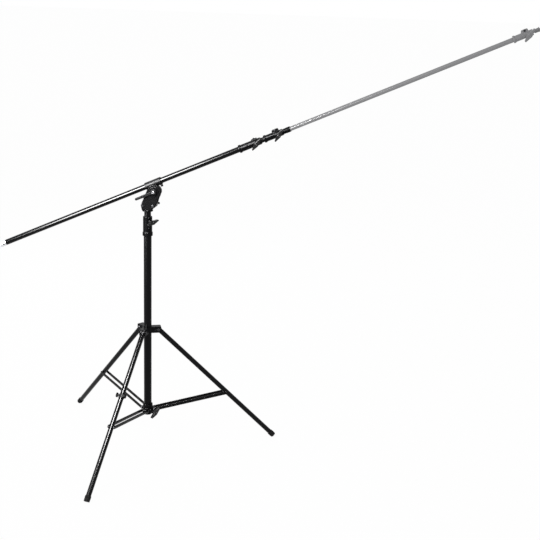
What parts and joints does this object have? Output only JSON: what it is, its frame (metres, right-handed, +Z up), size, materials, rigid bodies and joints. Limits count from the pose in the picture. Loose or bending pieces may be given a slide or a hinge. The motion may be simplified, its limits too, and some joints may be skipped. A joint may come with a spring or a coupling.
{
  "type": "overhead boom arm",
  "caption": "Telescopic overhead boom arm on a tilt head, carried by a column stand with folding braced legs.",
  "frame": {"origin": "centre of the column's flat underside, on the column's axis; the floor is 154 mm below it", "axes": "+Z up along the column, +X the way the boom points over the ground, -Y the side with the tilt lever"},
  "size_m": [2.3059, 0.9803, 1.9706],
  "materials": {
    "black_tube": "gloss black anodised",
    "grey_tube": "satin grey anodised",
    "bare_aluminium": "turned",
    "casting": "satin dark grey powder coat",
    "black_plastic": "moulded, fine grain",
    "grey_plastic": "moulded, fine grain",
    "dark_steel": "blackened",
    "bright_steel": "bright",
    "foot_rubber": "matte"
  },
  "bodies": {
    "column": {"column_tube": "black_tube", "column_base_cap": "black_plastic", "column_clamp": "casting", "spider": "casting", "spider_pin_right": "dark_steel", "spider_pin_front": "dark_steel", "spider_pin_rear": "dark_steel"},
    "column_knob": {"column_clamp_screw": "black_plastic"},
    "collar": {"lower_collar": "casting"},
    "collar_knob": {"collar_screw": "black_plastic"},
    "leg_right": {"leg_eye_right": "casting", "leg_tube_right": "black_tube", "brace_bracket_right": "dark_steel", "foot_right": "foot_rubber"},
    "leg_front": {"leg_eye_front": "casting", "leg_tube_front": "black_tube", "brace_bracket_front": "dark_steel", "foot_front": "foot_rubber", "accessory_clip": "black_plastic"},
    "leg_rear": {"leg_eye_rear": "casting", "leg_tube_rear": "black_tube", "brace_bracket_rear": "dark_steel", "foot_rear": "foot_rubber"},
    "brace_right": {"brace_bar_right_near": "black_tube", "brace_bar_right_far": "black_tube", "brace_pin_right": "dark_steel"},
    "brace_front": {"brace_bar_front_near": "black_tube", "brace_bar_front_far": "black_tube", "brace_pin_front": "dark_steel"},
    "brace_rear": {"brace_bar_rear_near": "black_tube", "brace_bar_rear_far": "black_tube", "brace_pin_rear": "dark_steel"},
    "riser": {"riser_tube": "black_tube", "riser_guide_bush": "black_plastic"},
    "head": {"head_casting": "casting", "head_bolt_left": "dark_steel", "head_bolt_right": "dark_steel", "tilt_bolt": "bright_steel", "tilt_nut": "dark_steel"},
    "pan_knob": {"pan_lock_screw": "black_plastic"},
    "lever": {"tilt_lever": "black_plastic"},
    "holder": {"boom_holder": "casting", "sleeve_liner": "black_plastic"},
    "sleeve_knob": {"sleeve_lock_screw": "black_plastic"},
    "boom_1": {"boom_tube_1": "black_tube", "tail_plug": "bare_aluminium", "clamp_1_body": "casting", "clamp_1_bolt": "dark_steel", "clamp_1_bush": "black_plastic"},
    "clamp_1_knob": {"clamp_1_screw": "black_plastic"},
    "boom_2": {"boom_tube_2": "black_tube", "clamp_2_body": "casting", "clamp_2_bolt": "dark_steel", "clamp_2_bush": "black_plastic"},
    "clamp_2_knob": {"clamp_2_screw": "black_plastic"},
    "boom_3": {"boom_tube_3": "grey_tube", "end_clamp_body": "grey_tube", "end_clamp_bolt": "dark_steel"},
    "end_clamp_knob": {"end_clamp_screw": "grey_plastic"},
    "tip": {"spigot": "grey_tube"}
  },
  "joints": [
    {"name": "leg_right_fold", "type": "hinge", "parent": "column", "child": "leg_right", "pos_m": [0.04438, 0.01829, 0.414], "axis": [-0.3811, 0.9245, 0], "range_deg": [0, 44.5]},
    {"name": "leg_front_fold", "type": "hinge", "parent": "column", "child": "leg_front", "pos_m": [-0.00635, -0.04758, 0.414], "axis": [0.9912, -0.1323, 0], "range_deg": [0, 44.5]},
    {"name": "leg_rear_fold", "type": "hinge", "parent": "column", "child": "leg_rear", "pos_m": [-0.03803, 0.02929, 0.414], "axis": [-0.6101, -0.7923, 0], "range_deg": [0, 44.5]},
    {"name": "collar_slide", "type": "slide", "parent": "column", "child": "collar", "axis": [0, 0, 1], "range_m": [0, 0.2782]},
    {"name": "brace_right_fold", "type": "hinge", "parent": "collar", "child": "brace_right", "pos_m": [0.02635, 0.01086, 0.0245], "axis": [-0.3811, 0.9245, 0], "range_deg": [0, 97.49]},
    {"name": "brace_front_fold", "type": "hinge", "parent": "collar", "child": "brace_front", "pos_m": [-0.00377, -0.02825, 0.0245], "axis": [0.9912, -0.1323, 0], "range_deg": [0, 97.49]},
    {"name": "brace_rear_fold", "type": "hinge", "parent": "collar", "child": "brace_rear", "pos_m": [-0.02258, 0.01739, 0.0245], "axis": [-0.6101, -0.7923, 0], "range_deg": [0, 97.49]},
    {"name": "collar_knob_turn", "type": "hinge", "parent": "collar", "child": "collar_knob", "pos_m": [0, 0, 0.0185], "axis": [0.8387, -0.5446, 0], "range_deg": [0, 360]},
    {"name": "column_knob_turn", "type": "hinge", "parent": "column", "child": "column_knob", "pos_m": [0, 0, 0.9173], "axis": [0.829, -0.5592, 0], "range_deg": [0, 360]},
    {"name": "riser_slide", "type": "slide", "parent": "column", "child": "riser", "axis": [0, 0, 1], "range_m": [-0.022, 0.62]},
    {"name": "head_pan", "type": "hinge", "parent": "riser", "child": "head", "pos_m": [0, 0, 0.9933], "axis": [0, 0, 1], "continuous": true},
    {"name": "pan_knob_turn", "type": "hinge", "parent": "head", "child": "pan_knob", "pos_m": [0.05, 0, 1.002], "axis": [1, 0, 0], "range_deg": [0, 360]},
    {"name": "tilt_lever_turn", "type": "hinge", "parent": "head", "child": "lever", "pos_m": [0.0355, 0, 1.055], "axis": [0, -1, 0], "range_deg": [0, 120]},
    {"name": "boom_tilt", "type": "hinge", "parent": "head", "child": "holder", "pos_m": [0.0355, 0, 1.055], "axis": [0, -1, 0], "range_deg": [-67, 30]},
    {"name": "sleeve_knob_turn", "type": "hinge", "parent": "holder", "child": "sleeve_knob", "pos_m": [0.06957, 0, 1.07067], "axis": [0.4179, 0, -0.9085], "range_deg": [0, 360]},
    {"name": "boom_slide", "type": "slide", "parent": "holder", "child": "boom_1", "axis": [0.9085, 0, 0.4179], "range_m": [-0.375, 0.65]},
    {"name": "clamp_1_knob_turn", "type": "hinge", "parent": "boom_1", "child": "clamp_1_knob", "pos_m": [0.48076, 0, 1.29617], "axis": [0.0869, -0.9781, -0.1889], "range_deg": [0, 360]},
    {"name": "section_2_slide", "type": "slide", "parent": "boom_1", "child": "boom_2", "axis": [0.9085, 0, 0.4179], "range_m": [-0.013, 0.97]},
    {"name": "clamp_2_knob_turn", "type": "hinge", "parent": "boom_2", "child": "clamp_2_knob", "pos_m": [0.57434, 0, 1.33922], "axis": [0.0869, -0.9781, -0.1889], "range_deg": [0, 360]},
    {"name": "section_3_slide", "type": "slide", "parent": "boom_2", "child": "boom_3", "axis": [0.9085, 0, 0.4179], "range_m": [-0.957, 0.04]},
    {"name": "end_clamp_knob_turn", "type": "hinge", "parent": "boom_3", "child": "end_clamp_knob", "pos_m": [1.54826, 0, 1.78717], "axis": [0.0869, -0.9781, -0.1889], "range_deg": [0, 360]},
    {"name": "spigot_turn", "type": "hinge", "parent": "boom_3", "child": "tip", "pos_m": [1.54826, 0, 1.78717], "axis": [0.9085, 0, 0.4179], "continuous": true}
  ],
  "couplings": [
    {"joint": "leg_front_fold", "follows": "leg_right_fold", "ratio": 1},
    {"joint": "leg_rear_fold", "follows": "leg_right_fold", "ratio": 1},
    {"joint": "collar_slide", "follows": "leg_right_fold", "m_per_rad": 0.35806},
    {"joint": "brace_right_fold", "follows": "leg_right_fold", "ratio": 2.1908},
    {"joint": "brace_front_fold", "follows": "leg_right_fold", "ratio": 2.1908},
    {"joint": "brace_rear_fold", "follows": "leg_right_fold", "ratio": 2.1908}
  ]
}
